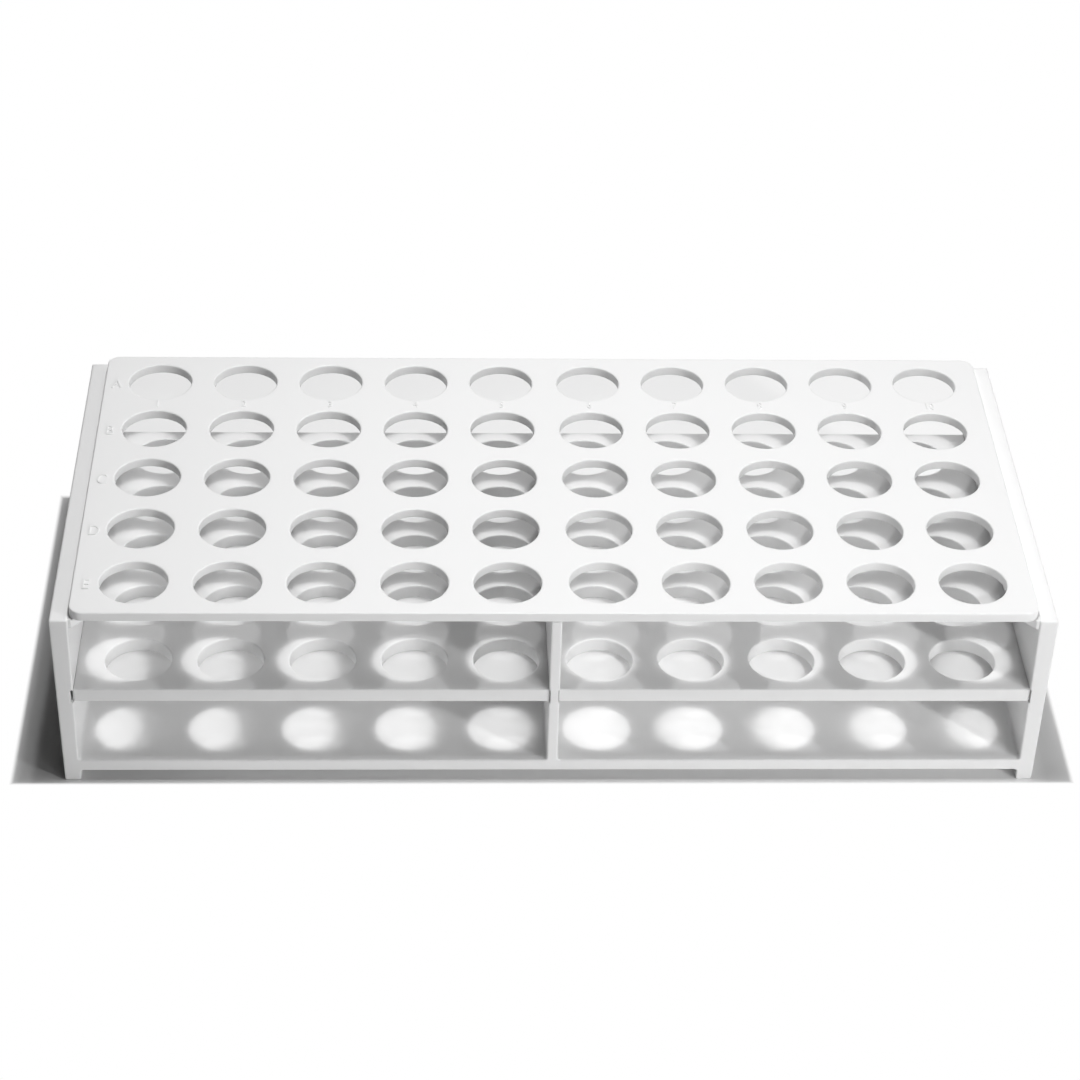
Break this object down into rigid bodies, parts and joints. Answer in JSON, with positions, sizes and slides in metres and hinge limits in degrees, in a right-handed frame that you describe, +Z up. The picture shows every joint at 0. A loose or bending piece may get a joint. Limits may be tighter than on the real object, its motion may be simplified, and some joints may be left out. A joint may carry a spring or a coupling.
{
  "type": "microcentrifuge tube rack",
  "caption": "Low open-fronted white plastic rack with a perforated top plate and perforated shelves that hold small conical tubes upright in a grid.",
  "frame": {"origin": "middle of the footprint, on the bench surface under the feet", "axes": "+X along the columns of tube places, to the right seen from the front; +Y from the front row to the back row; +Z up"},
  "size_m": [0.161, 0.0748, 0.0348],
  "materials": {
    "base_plastic": "fine satin, moulded white polypropylene",
    "plate_plastic": "fine satin, moulded white polypropylene",
    "shelf_plastic": "fine satin, moulded white polypropylene"
  },
  "bodies": {
    "root": {"base": "base_plastic", "top_plate": "plate_plastic", "shelf_left": "shelf_plastic", "shelf_right": "shelf_plastic"}
  },
  "joints": []
}
